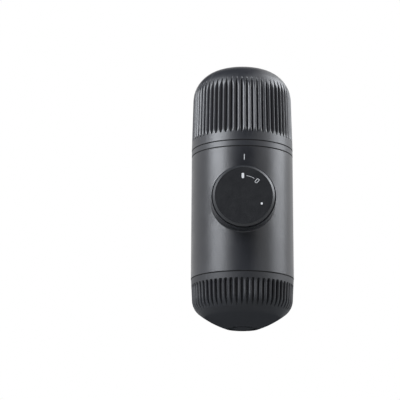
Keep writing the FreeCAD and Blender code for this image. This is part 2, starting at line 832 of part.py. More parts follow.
def pump_frame():
    front = box(-front_plate_half_width, front_plate_half_width, -plate_front, -plate_rear,
                socket_top, deck_base)
    back = box(-back_plate_half_width, back_plate_half_width, back_plate_depth,
               back_plate_depth + plate_thickness, socket_top, deck_base)
    rails = [box(side * back_plate_half_width - rail_thickness * (side > 0),
                 side * back_plate_half_width + rail_thickness * (side < 0),
                 -plate_front, back_plate_depth + plate_thickness,
                 knob_height - rail_half_height, knob_height + rail_half_height) for side in (-1, 1)]
    pillars = []
    for x, y in pillar_places():
        pillars.append(rod(pillar_radius, socket_top, socket_top + lower_pillar_length, x, y))
        pillars.append(rod(pillar_radius, deck_base - upper_pillar_length, deck_base, x, y))
    body = joined([front, back] + rails + pillars)
    mouth = facing(rod(sleeve_radius + moving_gap, 0, plate_front))
    holes = [mouth]
    for x, y in pillar_places():
        holes.append(rod(screw_radius, socket_top, socket_top + lower_pillar_length, x, y))
        holes.append(rod(screw_radius, deck_base - upper_pillar_length, deck_base, x, y))
    for x, z in block_screw_places():
        hole = rod(screw_radius, 0, plate_thickness)
        hole.rotate(Vector(), Vector(1, 0, 0), -90)
        hole.translate(Vector(x, back_plate_depth, z))
        holes.append(hole)
    return body.cut(holes)


def frame_screws():
    """Up through the frame's top pillars into the deck's bosses."""
    seat = deck_base - upper_pillar_length
    bite = upper_pillar_length + deck_thickness + deck_boss_height - 2 * screw_radius
    piece = upside_down(screw(seat, bite), seat)
    return [moved(piece, x, y) for x, y in pillar_places()]


def moved(shape, x, y):
    copy = shape.copy()
    copy.translate(Vector(x, y, 0))
    return copy


# --- brew socket and outlet head

def brew_socket():
    disc = rod(deck_radius, socket_base, socket_top)
    skirt = tube(socket_bore, socket_skirt_radius, socket_end, socket_base)
    boss = rod(shower_boss_radius, shower_top, socket_base)
    ridges = thread(socket_skirt_radius, True, socket_thread_low, head_thread_turns)
    body = joined([disc, skirt, boss]).fuse(ridges)
    holes = [rod(screw_radius, socket_base, socket_top, x, y) for x, y in pillar_places()]
    holes.append(rod(delivery_bore_radius, socket_base, socket_top, 0, passage_depth))
    holes.append(rod(shower_screw_radius, shower_top, socket_base + socket_disc / 2))
    return body.cut(holes)


def socket_screws():
    """Up through the socket's disc into the frame's lower pillars."""
    piece = upside_down(screw(socket_base, socket_disc + lower_pillar_length - screw_radius), socket_base)
    return [moved(piece, x, y) for x, y in pillar_places()]


def shower_plate():
    radius = socket_bore - seat_gap
    disc = rod(radius, shower_base, shower_top)
    spacing = (radius - gasket_width - shower_boss_radius) / 4
    rings = [shower_boss_radius + spacing * n for n in (1, 2, 3)]
    disc = perforated(disc, shower_hole_radius, rings, shower_base, shower_top)
    return disc.cut(rod(shower_screw_radius + seat_gap, shower_base, shower_top))


def shower_screw():
    seat = shower_base
    head = rod(2 * shower_screw_radius, seat - gasket_thickness + seat_gap, seat)
    shank = rod(shower_screw_radius, seat, socket_base + socket_disc / 2)
    slot = box(-2 * shower_screw_radius, 2 * shower_screw_radius, -shower_hole_radius / 2,
               shower_hole_radius / 2, seat - gasket_thickness, seat - gasket_thickness / 2)
    return joined([head, shank]).cut(slot)


def brew_gasket():
    outer = socket_bore - seat_gap
    return tube(outer - gasket_width, outer, basket_rim, shower_base)


def filter_basket():
    rim_radius = basket_radius + basket_rim_width
    inner = basket_radius - basket_wall
    cup_shape = turned([(0, basket_base), (basket_radius, basket_base),
                        (basket_radius, basket_rim - basket_rim_thickness),
                        (rim_radius, basket_rim - basket_rim_thickness), (rim_radius, basket_rim),
                        (inner, basket_rim), (inner, basket_base + basket_wall),
                        (0, basket_base + basket_wall)])
    spacing = (inner - basket_wall) / 6
    rings = [spacing * n for n in (1, 2, 3, 4, 5)]
    return perforated(cup_shape, basket_hole_radius, rings, basket_base, basket_base + basket_wall)


def outlet_head():
    outside = turned([(0, head_cone_height), (head_cone_radius, head_cone_height),
                      (head_radius - head_chamfer, cone_top), (head_radius, skirt_base),
                      (head_radius, head_top), (0, head_top)])
    socket = rod(head_bore, basket_base, head_top)
    drain = turned([(0, head_cone_height), (spout_radius, head_cone_height), (spout_radius, floor_base),
                    (basket_radius / 2, basket_base), (0, basket_base)])
    groove = tube(cup_ring_radius - cup_ring_wire - seat_gap, cup_bore,
                  cup_ring_height - cup_ring_wire - seat_gap, cup_ring_height + cup_ring_wire + seat_gap)
    ridges = mating_thread(head_bore, head_thread_low, socket_thread_low, head_thread_turns)
    return outside.cut([socket, drain, groove]).fuse(ridges)


def cup_o_ring():
    return ring_of_wire(cup_ring_radius, cup_ring_wire, cup_ring_height)


def outlet_spout():
    outer = spout_radius - seat_gap
    return turned([(spout_bore_radius, spout_tip), (outer, spout_tip),
                   (outer, head_cone_height - spout_flange),
                   (spout_flange_radius, head_cone_height - spout_flange),
                   (spout_flange_radius, head_cone_height), (outer, head_cone_height),
                   (outer, floor_base), (spout_bore_radius, floor_base)])


# --- write every piece

os.makedirs("parts", exist_ok=True)

save("body_shell", body_shell())
save("collar_ring", collar_ring())
save("tank_neck", tank_neck())
save("inlet_filter", inlet_filter())
save("air_valve", air_valve())
save("suction_duct", suction_duct())
save("pump_frame", pump_frame())
save("frame_screws", *frame_screws())
save("pump_block", pump_block())
save("block_screws", *block_screws())
save("pump_barrel", pump_barrel())
save("barrel_seal", barrel_seal())
save("suction_ball", valve_ball(upper_seat))
save("suction_spring", valve_spring(upper_seat - chamber_length, upper_seat))
save("delivery_ball", valve_ball(lower_seat))
save("delivery_spring", valve_spring(tower_base + delivery_insert, lower_seat))
save("delivery_duct", delivery_duct())
save("brew_socket", brew_socket())
save("socket_screws", *socket_screws())
save("shower_plate", shower_plate())
save("shower_screw", shower_screw())
save("brew_gasket", brew_gasket())
save("piston", piston())
save("piston_rings", *piston_rings())
save("thrust_washer", thrust_washer())
save("return_spring", return_spring())
save("knob_cap", knob_cap())
save("knob_sleeve", knob_sleeve())
save("sleeve_screws", *sleeve_screws())
save("knob_screw", knob_screw())
save("knob_face", knob_face())
save("tank_seal", tank_seal())
save("tank", tank())
save("filter_basket", filter_basket())
save("outlet_head", outlet_head())
save("outlet_spout", outlet_spout())
save("cup_o_ring", cup_o_ring())
save("cup", cup())
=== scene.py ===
import math

import bpy
import numpy as np
from mathutils import Euler, Matrix, Vector


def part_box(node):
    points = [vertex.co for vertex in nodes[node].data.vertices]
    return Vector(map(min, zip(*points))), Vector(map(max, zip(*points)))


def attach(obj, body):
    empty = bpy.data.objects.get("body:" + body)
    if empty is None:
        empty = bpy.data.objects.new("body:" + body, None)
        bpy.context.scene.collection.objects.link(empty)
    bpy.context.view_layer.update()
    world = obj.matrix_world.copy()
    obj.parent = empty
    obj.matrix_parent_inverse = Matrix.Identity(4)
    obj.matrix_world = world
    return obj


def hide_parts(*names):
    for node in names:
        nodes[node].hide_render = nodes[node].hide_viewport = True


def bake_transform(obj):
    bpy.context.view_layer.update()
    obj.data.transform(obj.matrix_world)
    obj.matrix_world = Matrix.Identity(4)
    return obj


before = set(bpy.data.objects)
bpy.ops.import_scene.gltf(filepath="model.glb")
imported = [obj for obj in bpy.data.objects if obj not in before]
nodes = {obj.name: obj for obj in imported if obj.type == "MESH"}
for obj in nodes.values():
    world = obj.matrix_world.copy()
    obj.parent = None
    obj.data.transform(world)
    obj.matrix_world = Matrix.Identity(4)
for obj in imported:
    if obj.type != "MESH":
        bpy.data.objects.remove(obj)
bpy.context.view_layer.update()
mm = 0.001
print("frame loaded:", len(nodes), "nodes")


# meshes: every shell is a set of rings of points, in millimetres

def skinOfRings(rings, tips=None, loop=False):
    # quads join each ring to the next; with loop the last ring joins the first, otherwise a fan of
    # triangles closes each end on its tip, which is the end ring's own centre unless it is given
    rows, columns = rings.shape[:2]
    points = rings.reshape(-1, 3)
    index = np.arange(rows * columns).reshape(rows, columns)
    if loop:
        index = np.vstack([index, index[:1]])
    beside = np.roll(index, -1, axis=1)
    quads = np.stack([index[:-1], index[1:], beside[1:], beside[:-1]], axis=-1).reshape(-1, 4)
    if loop:
        return outward(points, quads, np.zeros((0, 3), int))
    if tips is None:
        tips = (rings[0].mean(0), rings[-1].mean(0))
    points = np.vstack([points, tips])
    first, last = np.full(columns, rows * columns), np.full(columns, rows * columns + 1)
    fans = np.vstack([np.stack([first, index[0], beside[0]], -1),
                      np.stack([index[-1], last, beside[-1]], -1)])
    return outward(points, quads, fans)


def outward(points, quads, triangles):
    # the signed volume is a sixth of the sum of a . (b x c) over triangles; a negative one turns all faces
    corners = points[np.vstack([quads[:, :3], quads[:, [0, 2, 3]], triangles])]
    volume = np.einsum("ij,ij->", corners[:, 0], np.cross(corners[:, 1], corners[:, 2]))
    if volume < 0:
        quads, triangles = quads[:, ::-1], triangles[:, ::-1]
    return points, quads, triangles


def makePiece(name, shells, material, body, sharpDeg=35.0, standsFor=()):
    points, faces, first = [], [], 0
    for shellPoints, quads, triangles in shells:
        points.append(shellPoints * mm)
        faces += (quads + first).tolist() + (triangles + first).tolist()
        first += len(shellPoints)
    mesh = bpy.data.meshes.new(name)
    mesh.from_pydata(np.vstack(points).tolist(), [], faces)
    mesh.shade_smooth()
    mesh.set_sharp_from_angle(angle=math.radians(sharpDeg))
    mesh.materials.append(material)
    piece = bpy.data.objects.new(name, mesh)
    bpy.context.scene.collection.objects.link(piece)
    if body:
        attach(piece, body)
    if standsFor:
        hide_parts(*standsFor)
    return piece


def turnedRings(radius, height, angles):
    # radius is rows by columns or rows by one; x = r cos a, y = r sin a
    radius = np.broadcast_to(radius, (len(height), len(angles)))
    flat = np.broadcast_to(np.asarray(height)[:, None], radius.shape)
    return np.stack([radius * np.cos(angles), radius * np.sin(angles), flat], axis=-1)


def arcPoints(centre, radius, fromAngle, toAngle, count):
    angle = np.linspace(fromAngle, toAngle, count)
    return np.stack([centre[0] + radius * np.cos(angle), centre[1] + radius * np.sin(angle)], axis=-1)


def polyline(corners, steps):
    # straight runs between corners, each cut into its own number of steps
    runs = [np.linspace(a, b, n, endpoint=False) for a, b, n in zip(corners[:-1], corners[1:], steps)]
    return np.vstack(runs + [[corners[-1]]])


# materials

def toLinear(hexColour):  # sRGB hex to linear RGBA
    shares = [int(hexColour[k:k + 2], 16) / 255 for k in (1, 3, 5)]
    return [c / 12.92 if c <= 0.04045 else ((c + 0.055) / 1.055) ** 2.4 for c in shares] + [1.0]


def addNode(tree, kind, settings=None, links=None):
    # a setting goes to the socket of that name, or to the node's own property
    node = tree.nodes.new(kind)
    for key, value in (settings or {}).items():
        if isinstance(key, int) or key in node.inputs:
            node.inputs[key].default_value = value
        else:
            setattr(node, key, value)
    for key, source in (links or {}).items():
        tree.links.new(source, node.inputs[key])
    return node


def newMaterial(name):
    material = bpy.data.materials.new(name)
    material.use_nodes = True
    material.node_tree.nodes.clear()
    return material, material.node_tree


# an edge counts as worn between these two shares of pointiness; noise keeps mostly to its middle shares
wearShares = (0.5, 0.62)
noiseShares = (0.3, 0.7)
# the chamfers beside a seam are painted dark, a painted shade of the gap between the parts, and are made
# rough
seamShade = {"halfWidthMm": 0.36, "hex": "#060607", "roughness": 0.95}
plainSpecular = 0.5  # the shader's own specular level
# the noise that draws the mould's grain, and the one that lets shade and gloss drift over a piece
grainNoise = {"Detail": 2.0, "Roughness": 0.6}
driftNoise = {"Detail": 3.0, "Roughness": 0.55}


def mouldedPlastic(name, look):
    # spark-eroded mould grain: a fine bump with a slow drift of shade and gloss, edges rubbed lighter
    material, tree = newMaterial(name)
    place = addNode(tree, "ShaderNodeTexCoord").outputs["Object"]
    grain = addNode(tree, "ShaderNodeTexNoise", {"Scale": 1 / (look["grainMm"] * mm), **grainNoise},
                    {"Vector": place})
    drift = addNode(tree, "ShaderNodeTexNoise", {"Scale": 1 / (look["driftMm"] * mm), **driftNoise},
                    {"Vector": place})
    shade = addNode(tree, "ShaderNodeMix", {"data_type": "RGBA", 6: toLinear(look["darkHex"]),
                                            7: toLinear(look["lightHex"])}, {0: drift.outputs["Fac"]})
    edge = addNode(tree, "ShaderNodeMapRange", {"From Min": wearShares[0], "From Max": wearShares[1],
                                                "To Min": 0.0, "To Max": look["edgeWear"]},
                   {"Value": addNode(tree, "ShaderNodeNewGeometry").outputs["Pointiness"]})
    worn = addNode(tree, "ShaderNodeMix", {"data_type": "RGBA", 7: toLinear(look["wornHex"])},
                   {0: edge.outputs[0], 6: shade.outputs[2]})
    rough = addNode(tree, "ShaderNodeMapRange", {"From Min": noiseShares[0], "From Max": noiseShares[1],
                                                 "To Min": look["roughness"] - look["roughnessSpread"],
                                                 "To Max": look["roughness"] + look["roughnessSpread"]},
                    {"Value": drift.outputs["Fac"]})
    colour, gloss = worn.outputs[2], rough.outputs[0]
    height = addNode(tree, "ShaderNodeSeparateXYZ", None, {0: place}).outputs["Z"]
    # painted shade: a band about each seam's height takes the dark seam colour and turns rough
    for seam in look.get("seamsMm", ()):
        near = addNode(tree, "ShaderNodeMath", {"operation": "COMPARE", 1: seam * mm,
                                                2: seamShade["halfWidthMm"] * mm}, {0: height})
        colour = addNode(tree, "ShaderNodeMix", {"data_type": "RGBA", 7: toLinear(seamShade["hex"])},
                         {0: near.outputs[0], 6: colour}).outputs[2]
        gloss = addNode(tree, "ShaderNodeMix", {"data_type": "FLOAT", 3: seamShade["roughness"]},
                        {0: near.outputs[0], 2: gloss}).outputs[0]
    uneven = {}
    if "shadedTip" in look:
        # painted shade toward the low end: over a height the colour blends to another and the reflection
        # fades out, so the cone darkens towards its tip where shade falls
        shadedTip = look["shadedTip"]
        low = addNode(tree, "ShaderNodeMapRange", {"From Min": shadedTip["fromMm"] * mm,
                                                   "From Max": shadedTip["toMm"] * mm}, {"Value": height})
        colour = addNode(tree, "ShaderNodeMix", {"data_type": "RGBA", 7: toLinear(shadedTip["hex"])},
                         {0: low.outputs[0], 6: colour}).outputs[2]
        shine = addNode(tree, "ShaderNodeMapRange", {"To Min": plainSpecular, "To Max": shadedTip["specular"]},
                        {"Value": low.outputs[0]})
        uneven["Specular IOR Level"] = shine.outputs[0]
    bump = addNode(tree, "ShaderNodeBump", {"Strength": look["grainStrength"],
                                            "Distance": look["grainMm"] * mm},
                   {"Height": grain.outputs["Fac"]})
    shader = addNode(tree, "ShaderNodeBsdfPrincipled", {"IOR": look["ior"]},
                     {"Base Color": colour, "Roughness": gloss, "Normal": bump.outputs[0], **uneven})
    addNode(tree, "ShaderNodeOutputMaterial", None, {"Surface": shader.outputs[0]})
    return material


# noise that is stretched across the turning axis, to this share of its scale along it, makes streaks;
# the gloss varies by glossSpread of itself, and the bump is a small share of a streak's width
streaks = {"across": 0.06, "detail": 3.0, "glossSpread": 0.3, "bumpStrength": 0.15, "bumpShare": 0.2}


def turnedSteel(name, look):
    # bright stainless steel: streaks that run round the turning axis, drawn by stretched noise
    material, tree = newMaterial(name)
    place = addNode(tree, "ShaderNodeTexCoord").outputs["Object"]
    fine = 1 / (look["streakMm"] * mm)
    scale = [fine * streaks["across"]] * 3
    scale[look["axis"]] = fine
    squeeze = addNode(tree, "ShaderNodeMapping", {"Scale": scale}, {"Vector": place})
    streak = addNode(tree, "ShaderNodeTexNoise", {"Scale": 1.0, "Detail": streaks["detail"]},
                     {"Vector": squeeze.outputs[0]})
    shade = addNode(tree, "ShaderNodeMix", {"data_type": "RGBA", 6: toLinear(look["darkHex"]),
                                            7: toLinear(look["lightHex"])}, {0: streak.outputs["Fac"]})
    rough = addNode(tree, "ShaderNodeMapRange", {"To Min": look["roughness"] * (1 - streaks["glossSpread"]),
                                                 "To Max": look["roughness"] * (1 + streaks["glossSpread"])},
                    {"Value": streak.outputs["Fac"]})
    bump = addNode(tree, "ShaderNodeBump", {"Strength": streaks["bumpStrength"],
                                            "Distance": look["streakMm"] * mm * streaks["bumpShare"]},
                   {"Height": streak.outputs["Fac"]})
    shader = addNode(tree, "ShaderNodeBsdfPrincipled", {"Metallic": 1.0},
                     {"Base Color": shade.outputs[2], "Roughness": rough.outputs[0],
                      "Normal": bump.outputs[0]})
    addNode(tree, "ShaderNodeOutputMaterial", None, {"Surface": shader.outputs[0]})
    return material


plastic = {
    # satin ABS from a spark-eroded mould; the grain is drawn at 0.5 mm, as coarse as it needs to show
    "satinShell": {"darkHex": "#191a1e", "lightHex": "#1e1f23", "wornHex": "#323337", "edgeWear": 0.5,
                   "seamsMm": (28.5, 101.6), "roughness": 0.345, "roughnessSpread": 0.03, "grainMm": 0.5,
                   "driftMm": 9.0, "grainStrength": 0.10, "ior": 1.5},
    "smoothCollar": {"darkHex": "#1d1e22", "lightHex": "#222327", "wornHex": "#333438", "edgeWear": 0.4,
                     "seamsMm": (101.6, 105.2), "roughness": 0.39, "roughnessSpread": 0.02, "grainMm": 0.5,
                     "driftMm": 9.0, "grainStrength": 0.05, "ior": 1.5},
    "satinTank": {"darkHex": "#1d1e22", "lightHex": "#222327", "wornHex": "#3c3d40", "edgeWear": 0.6,
                  "seamsMm": (105.2,), "roughness": 0.39, "roughnessSpread": 0.03, "grainMm": 0.5,
                  "driftMm": 7.0, "grainStrength": 0.10, "ior": 1.5},
    # the cup's colour is set darker than the shell's: painted shade for the lesser light that falls on the
    # cup
    "satinCup": {"darkHex": "#141519", "lightHex": "#18191d", "wornHex": "#2b2c30", "edgeWear": 0.5,
                 "seamsMm": (28.5,), "roughness": 0.5, "roughnessSpread": 0.03, "grainMm": 0.5,
                 "driftMm": 7.0, "grainStrength": 0.10, "ior": 1.46,
                 # painted shade: from fromMm down to toMm the cup darkens towards its tip, its colour
                 # blended and its reflection taken away
                 "shadedTip": {"fromMm": 18.0, "toMm": 6.0, "hex": "#323336", "specular": 0.0}},
    "knobRim": {"darkHex": "#18191b", "lightHex": "#1d1e20", "wornHex": "#35363a", "edgeWear": 0.5,
                "roughness": 0.42, "roughnessSpread": 0.02, "grainMm": 0.4, "driftMm": 6.0,
                "grainStrength": 0.06, "ior": 1.45},
    # the face disc has a coarser etch, which keeps it the darkest part
    "etchedFace": {"darkHex": "#090a0e", "lightHex": "#0e0f13", "wornHex": "#1c1d1f", "edgeWear": 0.3,
                   "roughness": 0.45, "roughnessSpread": 0.03, "grainMm": 0.6, "driftMm": 4.0,
                   "grainStrength": 0.18, "ior": 1.43},
    # glass-filled nylon of the pump's frame, block and sleeve: dull, with a mottle from the fibres
    "filledNylon": {"darkHex": "#2e2f31", "lightHex": "#3d3e40", "wornHex": "#4a4b4d", "edgeWear": 0.5,
                    "roughness": 0.55, "roughnessSpread": 0.06, "grainMm": 0.7, "driftMm": 2.0,
                    "grainStrength": 0.2, "ior": 1.53},
    # food-grade copolymer of the deck, the socket and the outlet head, moulded smooth
    "foodPlastic": {"darkHex": "#1f2022", "lightHex": "#252628", "wornHex": "#35363a", "edgeWear": 0.4,
                    "roughness": 0.32, "roughnessSpread": 0.03, "grainMm": 0.6, "driftMm": 6.0,
                    "grainStrength": 0.05, "ior": 1.54},
    # acetal, milky and slippery
    "acetal": {"darkHex": "#cfcbbf", "lightHex": "#dcd9ce", "wornHex": "#e4e1d7", "edgeWear": 0.3,
               "roughness": 0.28, "roughnessSpread": 0.03, "grainMm": 0.5, "driftMm": 4.0,
               "grainStrength": 0.03, "ior": 1.48},
    # silicone rubber: soft sheen, faint dusty bloom
    "silicone": {"darkHex": "#3a3a3b", "lightHex": "#454546", "wornHex": "#505051", "edgeWear": 0.3,
                 "roughness": 0.6, "roughnessSpread": 0.05, "grainMm": 0.5, "driftMm": 3.0,
                 "grainStrength": 0.08, "ior": 1.41},
    # pad-printed white ink, a few hundredths of a millimetre thick
    "whiteInk": {"darkHex": "#bdbec0", "lightHex": "#c8c9cb", "wornHex": "#cfcfcf", "edgeWear": 0.2,
                 "roughness": 0.5, "roughnessSpread": 0.03, "grainMm": 0.3, "driftMm": 1.0,
                 "grainStrength": 0.03, "ior": 1.5},
}
steel = {
    # 304 stainless, turned round the pump's axis (1 is Y) or pressed and rolled round the body's (2 is Z)
    "turnedSteel": {"darkHex": "#a9aaad", "lightHex": "#c9cacd", "roughness": 0.24,
                    "streakMm": 0.35, "axis": 1},
    "pressedSteel": {"darkHex": "#a6a7aa", "lightHex": "#c4c5c8", "roughness": 0.30,
                     "streakMm": 0.4, "axis": 2},
    "springWire": {"darkHex": "#8d8e91", "lightHex": "#b0b1b4", "roughness": 0.28,
                   "streakMm": 0.2, "axis": 1},
}
materials = {name: mouldedPlastic(name, look) for name, look in plastic.items()}
materials |= {name: turnedSteel(name, look) for name, look in steel.items()}

nodeFinish = {
    "satinShell": ["body_shell"],
    "smoothCollar": ["collar_ring"],
    "satinTank": ["tank"],
    "satinCup": ["cup"],
    "knobRim": ["knob_cap"],
    "etchedFace": ["knob_face"],
    "filledNylon": ["pump_frame", "pump_block", "knob_sleeve", "suction_duct"],
    "foodPlastic": ["tank_neck", "brew_socket", "outlet_head"],
    "acetal": ["piston"],
    "silicone": ["tank_seal", "air_valve", "barrel_seal", "brew_gasket", "piston_rings", "outlet_spout",
                 "cup_o_ring"],
    "turnedSteel": ["pump_barrel", "thrust_washer", "knob_screw", "sleeve_screws", "block_screws",
                    "suction_ball", "delivery_ball"],
    "pressedSteel": ["inlet_filter", "filter_basket", "shower_plate", "shower_screw", "frame_screws",
                     "socket_screws", "delivery_duct"],
    "springWire": ["return_spring", "suction_spring", "delivery_spring"],
}
for finish, names in nodeFinish.items():
    for nodeName in names:
        mesh = nodes[nodeName].data
        mesh.materials.clear()
        mesh.materials.append(materials[finish])
print("materials:", len(materials))


# ribs: rounded ridges run up the tank and the cup, with narrow steep-sided grooves between them

ribs = {"count": 59, "depth": 1.7, "flankSlope": 0.75, "crestRound": 0.12, "wallSlope": 3.0,
        "floorBlend": 0.25, "edgeRound": 0.4, "edgeFade": 0.3, "leastRounding": 0.2,
        "halfSamples": (0.0, 0.05, 0.12, 0.2, 0.27, 0.31, 0.36, 0.41, 0.5)}


def ribAngleList():
    # shares of the pitch from the middle of a rib, mirrored about it, then repeated round the turn
    half = np.array(ribs["halfSamples"])
    shares = np.concatenate([half, 1 - half[-2:0:-1]])
    return ((np.arange(ribs["count"])[:, None] + 0.5 + shares) * 2 * math.pi / ribs["count"]).ravel()


ribAngles = ribAngleList()


def softMin(a, b, width):
    # the lower of two surfaces, with their meeting line rounded over the width: a blend of the two by
    # mix = 1/2 + (b - a) / 2w, less w mix (1 - mix), which makes the slope run on smoothly
    width = np.maximum(width, 1e-6)
    mix = np.clip(0.5 + 0.5 * (b - a) / width, 0, 1)
    return b * (1 - mix) + a * mix - width * mix * (1 - mix)


def runoutDepth(fromEnd, length):
    # a groove's depth is a quarter ellipse of the distance from its end, steepest at the end itself
    share = np.clip(fromEnd / length, 0, 1)
    return ribs["depth"] * np.sqrt(1 - (1 - share) ** 2)


def ribbedRadius(outlineRadius, wallRadius, localDepth, blend, flankWidth):
    # x is the distance round the wall from the middle of the rib; the rib is a roof with a rounded
    # ridge, its drop a hyperbola of x, then its side falls steeply to the groove's floor; where the
    # groove runs out the whole cut is lifted out of the skin, and the skin stays inside the outline
    turn = ribAngles * ribs["count"] / (2 * math.pi)
    x = (0.5 - np.abs(turn - np.round(turn)))[None, :] * (2 * math.pi / ribs["count"]) * wallRadius[:, None]
    onFlank = np.minimum(x, flankWidth)
    drop = np.sqrt((ribs["flankSlope"] * onFlank) ** 2 + ribs["crestRound"] ** 2) - ribs["crestRound"]
    drop += (x - onFlank) * ribs["wallSlope"]
    rise = ribs["depth"] - localDepth[:, None]
    lifted = softMin(drop, ribs["depth"], ribs["floorBlend"]) - rise
    rounding = np.clip(rise / ribs["edgeFade"], ribs["leastRounding"], 1)
    rounding = rounding * np.clip(localDepth[:, None] / ribs["edgeFade"], 0, 1)
    cut = -softMin(-lifted, 0.0, ribs["edgeRound"] * rounding)
    return softMin(outlineRadius[:, None], wallRadius[:, None] - cut, blend[:, None])


# tank: a drafted wall, a shoulder arc and a crown arc, turned about the axis

tankLook = {"draftDeg": 1.5, "shoulderRadius": 18.3, "crownRadius": 75.0, "wall": 2.8, "edge": 0.3,
            "flankWidth": 1.0, "plainBand": 5.0, "midBand": 2.5, "runout": 3.6, "skirtHeight": 10.5,
            "skirtWall": 4.35, "sealHeight": 1.7, "sealRecess": 2.4, "domeBlend": 0.2, "blendOver": 2.0,
            "poleDeg": 89.5}
tankSteps = {"crown": 10, "shoulder": 44, "wall": 6, "runout": 18, "innerShoulder": 12, "innerCrown": 6}


def tankDome(rim, base, top, inset):
    # centre of the shoulder's arc, found from the wall line and the crown, and the arcs' angles
    draft = math.radians(tankLook["draftDeg"])
    crownCentre = top - tankLook["crownRadius"]
    reach = tankLook["crownRadius"] - tankLook["shoulderRadius"]
    along = (rim * math.cos(draft) + base * math.sin(draft) - tankLook["shoulderRadius"]
             - crownCentre * math.sin(draft))
    lift = math.sqrt(reach ** 2 - along ** 2)
    centre = (along * math.cos(draft) - lift * math.sin(draft),
              crownCentre + along * math.sin(draft) + lift * math.cos(draft))
    meet = math.atan2(centre[1] - crownCentre, centre[0])
    shoulder = tankLook["shoulderRadius"] - inset
    crown = tankLook["crownRadius"] - inset
    return centre, shoulder, (0.0, crownCentre), crown, draft, meet


def makeTank():
    low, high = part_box("tank")
    base, top = low.z / mm, high.z / mm
    rim = high.x / mm
    edge = tankLook["edge"]
    wallSlope = math.tan(math.radians(tankLook["draftDeg"]))
    centre, shoulder, crownCentre, crown, draft, meet = tankDome(rim, base, top, 0.0)
    pole = math.radians(tankLook["poleDeg"])
    crownArc = arcPoints(crownCentre, crown, pole, meet, tankSteps["crown"])
    shoulderArc = arcPoints(centre, shoulder, meet, draft, tankSteps["shoulder"])[1:]
    bandTop = base + tankLook["plainBand"]
    startZ = shoulderArc[-1][1]
    runout = tankLook["runout"]
    heights = np.concatenate([np.linspace(startZ, bandTop + runout, tankSteps["wall"])[1:-1],
                              bandTop + runout * np.linspace(1, 0, tankSteps["runout"]) ** 2,
                              [base + tankLook["midBand"], base + edge]])
    wallLine = np.stack([rim - (heights - base) * wallSlope, heights], axis=-1)
    foot = np.array([[rim - edge, base]])
    outline = np.vstack([crownArc, shoulderArc, wallLine, foot])
    z = outline[:, 1]
    depth = runoutDepth(z - bandTop, runout)
    blend = tankLook["domeBlend"] * np.clip((z - startZ) / tankLook["blendOver"], 0, 1)
    wallRadius = np.where(z < base + edge, outline[:, 0], rim - (z - base) * wallSlope)
    outer = turnedRings(ribbedRadius(outline[:, 0], wallRadius, depth, blend, tankLook["flankWidth"]),
                        z, ribAngles)
    # inside: seal recess, threaded skirt, then the wall's thickness inside the outline
    threadRadius = rim - tankLook["skirtWall"]
    skirtTop = base + tankLook["skirtHeight"]
    sealRadius = threadRadius + tankLook["sealRecess"]
    centre, shoulder, crownCentre, crown, draft, meet = tankDome(rim, base, top, tankLook["wall"])
    insideTop = skirtTop + tankLook["wall"]
    insideRadius = rim - (insideTop - base) * wallSlope - tankLook["wall"] / math.cos(draft)
    steps = polyline([(sealRadius, base), (sealRadius, base + tankLook["sealHeight"]),
                      (threadRadius, base + tankLook["sealHeight"]), (threadRadius, skirtTop),
                      (insideRadius, insideTop)], [1, 1, 1, 1])
    dome = np.vstack([arcPoints(centre, shoulder, draft, meet, tankSteps["innerShoulder"]),
                      arcPoints(crownCentre, crown, meet, pole, tankSteps["innerCrown"])[1:]])
    inline = np.vstack([steps, dome])
    inner = turnedRings(inline[:, :1], inline[:, 1], ribAngles)
    tips = ((0, 0, top), (0, 0, top - tankLook["wall"]))
    shell = skinOfRings(np.vstack([outer, inner]), tips)
    ridges = [threadRidge(threadRadius, -1, base + tankLook["sealHeight"] + thread["rootWidth"],
                          tankThreadTurn() + half, thread["tankTurns"]) for half in (0.0, math.pi)]
    return makePiece("ribbed_tank", [shell] + ridges, materials["satinTank"], "tank",
                     standsFor=["tank"])


# threads: two-start ridges with a trapezoid section, carried up a helix

thread = {"lead": 6.0, "height": 1.0, "rootWidth": 1.2, "crestWidth": 0.7, "sunk": 0.2, "tankTurns": 1.0,
          "fadeDeg": 25.0, "leastFade": 0.02, "stepsPerTurn": 96}


def tankThreadTurn():
    # the neck's two ridges are half a lead apart, so the tank's run a quarter of the lead away from them
    rise = tankLook["sealHeight"] - thread["lead"] / 4
    return 2 * math.pi * rise / thread["lead"]


def threadRidge(rootRadius, side, low, startAngle, turns):
    # a trapezoid whose crest fades in and out at both ends; side is 1 outwards and -1 inwards
    count = int(thread["stepsPerTurn"] * turns) + 1
    angle = np.linspace(0, 2 * math.pi * turns, count)
    fade = np.clip(np.minimum(angle, angle[-1] - angle) / math.radians(thread["fadeDeg"]),
                   thread["leastFade"], 1)
    slope = (thread["rootWidth"] - thread["crestWidth"]) / 2
    sunk = np.full(count, rootRadius - side * thread["sunk"])
    crest = rootRadius + side * (thread["height"] * fade)
    rise = low + angle / (2 * math.pi) * thread["lead"]
    radius = np.stack([sunk, crest, crest, sunk], axis=-1)
    height = np.stack([rise, rise + slope, rise + slope + thread["crestWidth"],
                       rise + thread["rootWidth"]], axis=-1)
    around = (angle + startAngle)[:, None]
    return skinOfRings(np.stack([radius * np.cos(around), radius * np.sin(around), height], axis=-1))


tankPiece = makeTank()
print("tank:", len(tankPiece.data.polygons), "faces")


# cup: drafted wall, shoulder arc and a long belly arc down to the foot

cupLook = {"draftDeg": 2.7, "shoulderHeight": 16.7, "shoulderRadius": 10.5, "bellyRadius": 56.0, "wall": 2.7,
           "floor": 3.0, "footRadius": 9.7, "footRim": 1.2, "footGroove": 3.0, "footGrooveDepth": 0.8,
           "edge": 0.3, "flankWidth": 0.8, "plainBand": 3.6, "midBand": 1.8, "runout": 2.0, "grooveEnd": 9.6,
           "bore": 26.7, "beltBlend": 0.15, "blendOver": 2.0, "bareBelow": 1.0, "bareMove": 3.0,
           "overShoulder": 0.2, "footPole": 1.0}
cupSteps = {"runout": 15, "wall": 6, "shoulder": 28, "belly": 14, "innerBelly": 9, "innerShoulder": 8}


